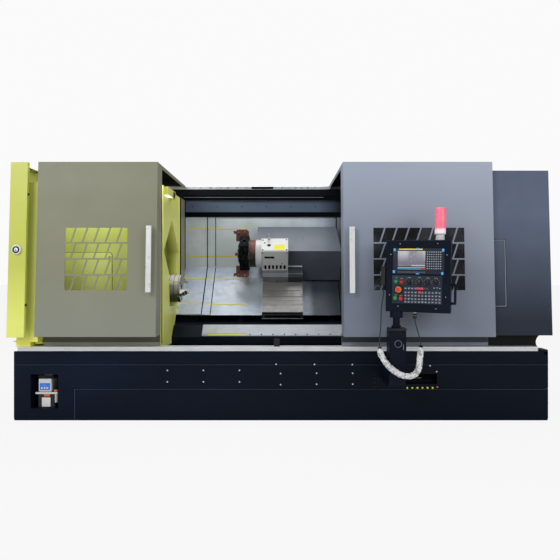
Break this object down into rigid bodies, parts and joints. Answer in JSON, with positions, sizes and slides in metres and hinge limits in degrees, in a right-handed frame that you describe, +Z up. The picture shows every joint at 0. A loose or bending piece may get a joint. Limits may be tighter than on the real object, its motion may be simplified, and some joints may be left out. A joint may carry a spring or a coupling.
{
  "type": "cnc turning lathe",
  "caption": "Slant-bed turning centre: sliding hooded doors with barred windows, chuck and turret in the open work area, swivel control pendant.",
  "frame": {"origin": "middle of the bounding box on the floor plane", "axes": "+X along the spindle from the headstock to the tailstock, +Y from the front to the back, +Z up"},
  "size_m": [4.285, 2.021, 2.06],
  "materials": {
    "base_paint": "dark blue-grey enamel",
    "tank_paint": "dark blue-grey enamel",
    "feet_steel": "turned steel",
    "lube_plastic": "moulded tank",
    "lube_paint": "blue enamel",
    "bed_iron": "painted casting",
    "rail_steel": "ground steel",
    "way_steel": "ground steel",
    "cover_steel": "stainless sheet",
    "screw_steel": "ground thread",
    "head_iron": "painted casting",
    "spindle_steel": "ground steel",
    "pulley_iron": "turned iron",
    "motor_paint": "satin enamel",
    "belt_rubber": "ribbed belt",
    "chuck_steel": "turned steel",
    "jaw_steel": "hardened steel",
    "saddle_steel": "stainless sheet",
    "slat_steel": "stainless sheet",
    "turret_paint": "pale grey enamel",
    "disc_steel": "blackened steel",
    "holder_steel": "oiled steel",
    "turret_cover_paint": "grey enamel",
    "tail_iron": "painted casting",
    "quill_steel": "ground steel",
    "left_door_paint": "olive grey enamel",
    "right_door_paint": "blue grey enamel",
    "window_glass": "laminated pane",
    "handle_paint": "silver enamel",
    "door_rail_steel": "ground strip",
    "stop_rubber": "moulded rubber",
    "back_wall_paint": "blue grey enamel",
    "bulkhead_paint": "lime enamel",
    "guard_paint": "lime enamel",
    "cabinet_paint": "dark blue-grey enamel",
    "end_door_paint": "lime enamel",
    "lock_metal": "die-cast",
    "switch_paint": "pale enamel",
    "lamp_glass": "frosted cover",
    "column_paint": "grey enamel",
    "pendant_paint": "pale grey enamel",
    "pendant_handle_metal": "satin tube",
    "signal_plastic": "translucent dome",
    "estop_plastic": "moulded mushroom",
    "green_plastic": "moulded cap",
    "red_plastic": "moulded cap",
    "knob_plastic": "moulded grip",
    "hand_plastic": "moulded case",
    "lead_rubber": "rubber sheath",
    "sleeve_fabric": "crinkled wrap"
  },
  "bodies": {
    "root": {"base_frame": "base_paint", "coolant_tank": "tank_paint", "levelling_feet": "feet_steel", "lube_tank": "lube_plastic", "lube_pump": "lube_paint", "bed": "bed_iron", "guide_rails": "rail_steel", "tailstock_way": "way_steel", "z_covers_fixed": "cover_steel", "headstock": "head_iron", "spindle_motor": "motor_paint", "drive_belt": "belt_rubber", "door_rails": "door_rail_steel", "door_stop": "stop_rubber", "back_wall": "back_wall_paint", "bulkhead": "bulkhead_paint", "headstock_guard": "guard_paint", "tail_cabinet": "cabinet_paint", "electric_cabinet": "switch_paint", "work_lamp": "lamp_glass", "pendant_column": "column_paint"},
    "left_door": {"left_door": "left_door_paint", "left_door_glass": "window_glass", "left_door_handle": "handle_paint"},
    "right_door": {"right_door": "right_door_paint", "right_door_glass": "window_glass", "right_door_handle": "handle_paint"},
    "end_cover": {"end_door": "end_door_paint"},
    "end_lock": {"end_door_lock": "lock_metal"},
    "switch_door": {"cabinet_door": "switch_paint"},
    "spindle": {"spindle": "spindle_steel", "spindle_pulley": "pulley_iron", "chuck_body": "chuck_steel"},
    "jaw_1": {"chuck_jaw_1": "jaw_steel"},
    "jaw_2": {"chuck_jaw_2": "jaw_steel"},
    "jaw_3": {"chuck_jaw_3": "jaw_steel"},
    "motor_shaft": {"motor_pulley": "pulley_iron"},
    "z_screw": {"z_screw": "screw_steel"},
    "carriage": {"saddle": "saddle_steel"},
    "mid_cover": {"z_cover_mid": "cover_steel"},
    "cross_slide": {"turret_housing": "turret_paint", "turret_cover": "turret_cover_paint"},
    "turret": {"turret_disc": "disc_steel", "tool_holders": "holder_steel"},
    "slat_1": {"x_slat_1": "slat_steel"},
    "slat_2": {"x_slat_2": "slat_steel"},
    "slat_3": {"x_slat_3": "slat_steel"},
    "tailstock": {"tailstock": "tail_iron"},
    "quill": {"quill": "quill_steel"},
    "pendant": {"pendant_case": "pendant_paint", "pendant_handle": "pendant_handle_metal", "signal_lamp": "signal_plastic", "hand_unit": "hand_plastic", "lead_exit": "lead_rubber", "lead_sleeve": "sleeve_fabric", "lead_rise": "lead_rubber"},
    "estop": {"estop": "estop_plastic"},
    "green_button": {"green_button": "green_plastic"},
    "red_button": {"red_button": "red_plastic"},
    "feed_knob": {"feed_knob": "knob_plastic"}
  },
  "joints": [
    {"name": "left_door_slide", "type": "slide", "parent": "root", "child": "left_door", "axis": [1, 0, 0], "range_m": [0, 0.944]},
    {"name": "right_door_slide", "type": "slide", "parent": "root", "child": "right_door", "axis": [-1, 0, 0], "range_m": [0, 0.519]},
    {"name": "end_cover_hinge", "type": "hinge", "parent": "root", "child": "end_cover", "pos_m": [-2.137, 0.7315, 1.3], "axis": [0, 0, 1], "range_deg": [-100, 0]},
    {"name": "end_lock_turn", "type": "hinge", "parent": "end_cover", "child": "end_lock", "pos_m": [-2.072, -0.65553, 1.369], "axis": [0, -0.9985, 0.0553], "range_deg": [0, 90]},
    {"name": "switch_door_hinge", "type": "hinge", "parent": "root", "child": "switch_door", "pos_m": [1.714, 0.9755, 1.2], "axis": [0, 0, 1], "range_deg": [-110, 0]},
    {"name": "spindle_spin", "type": "hinge", "parent": "root", "child": "spindle", "pos_m": [-1.035, 0.0815, 1.035], "axis": [1, 0, 0], "continuous": true},
    {"name": "motor_spin", "type": "hinge", "parent": "root", "child": "motor_shaft", "pos_m": [-1.9, -0.2385, 0.725], "axis": [1, 0, 0], "continuous": true},
    {"name": "jaw_1_slide", "type": "slide", "parent": "spindle", "child": "jaw_1", "axis": [0, 0, 1], "range_m": [-0.005, 0.005]},
    {"name": "jaw_2_slide", "type": "slide", "parent": "spindle", "child": "jaw_2", "axis": [0, -0.866, -0.5], "range_m": [-0.005, 0.005]},
    {"name": "jaw_3_slide", "type": "slide", "parent": "spindle", "child": "jaw_3", "axis": [0, 0.866, -0.5], "range_m": [-0.005, 0.005]},
    {"name": "carriage_slide", "type": "slide", "parent": "root", "child": "carriage", "axis": [1, 0, 0], "range_m": [-0.4, 0.35]},
    {"name": "z_screw_spin", "type": "hinge", "parent": "root", "child": "z_screw", "pos_m": [0, 0.49412, 0.96276], "axis": [1, 0, 0], "continuous": true},
    {"name": "mid_cover_slide", "type": "slide", "parent": "root", "child": "mid_cover", "axis": [1, 0, 0], "range_m": [-0.2, 0.175]},
    {"name": "cross_slide", "type": "slide", "parent": "carriage", "child": "cross_slide", "axis": [0, -0.7071, -0.7071], "range_m": [0, 0.239]},
    {"name": "turret_index", "type": "hinge", "parent": "cross_slide", "child": "turret", "pos_m": [-0.307, 0.4115, 1.365], "axis": [1, 0, 0], "continuous": true},
    {"name": "slat_1_slide", "type": "slide", "parent": "carriage", "child": "slat_1", "axis": [0, -0.7071, -0.7071], "range_m": [0, 0.17925]},
    {"name": "slat_2_slide", "type": "slide", "parent": "carriage", "child": "slat_2", "axis": [0, -0.7071, -0.7071], "range_m": [0, 0.1195]},
    {"name": "slat_3_slide", "type": "slide", "parent": "carriage", "child": "slat_3", "axis": [0, -0.7071, -0.7071], "range_m": [0, 0.05975]},
    {"name": "tailstock_slide", "type": "slide", "parent": "root", "child": "tailstock", "axis": [1, 0, 0], "range_m": [-0.25, 0.3]},
    {"name": "quill_slide", "type": "slide", "parent": "tailstock", "child": "quill", "axis": [1, 0, 0], "range_m": [-0.1, 0.04]},
    {"name": "pendant_swivel", "type": "hinge", "parent": "root", "child": "pendant", "pos_m": [0.867, -0.8385, 0.77], "axis": [0, 0, 1], "range_deg": [-60, 18]},
    {"name": "estop_push", "type": "slide", "parent": "pendant", "child": "estop", "axis": [0.342, 0.9397, 0], "range_m": [0, 0.005]},
    {"name": "green_push", "type": "slide", "parent": "pendant", "child": "green_button", "axis": [0.342, 0.9397, 0], "range_m": [0, 0.003], "stiffness_N_per_m": 600},
    {"name": "red_push", "type": "slide", "parent": "pendant", "child": "red_button", "axis": [0.342, 0.9397, 0], "range_m": [0, 0.003], "stiffness_N_per_m": 600},
    {"name": "feed_knob_turn", "type": "hinge", "parent": "pendant", "child": "feed_knob", "pos_m": [1.01572, -0.9344, 1.11584], "axis": [-0.342, -0.9397, 0], "range_deg": [-135, 135]}
  ],
  "couplings": [
    {"joint": "motor_spin", "follows": "spindle_spin", "ratio": 1.5556},
    {"joint": "jaw_2_slide", "follows": "jaw_1_slide", "ratio": 1},
    {"joint": "jaw_3_slide", "follows": "jaw_1_slide", "ratio": 1},
    {"joint": "z_screw_spin", "follows": "carriage_slide", "rad_per_m": 314.16},
    {"joint": "mid_cover_slide", "follows": "carriage_slide", "ratio": 0.5},
    {"joint": "slat_1_slide", "follows": "cross_slide", "ratio": 0.75},
    {"joint": "slat_2_slide", "follows": "cross_slide", "ratio": 0.5},
    {"joint": "slat_3_slide", "follows": "cross_slide", "ratio": 0.25}
  ]
}
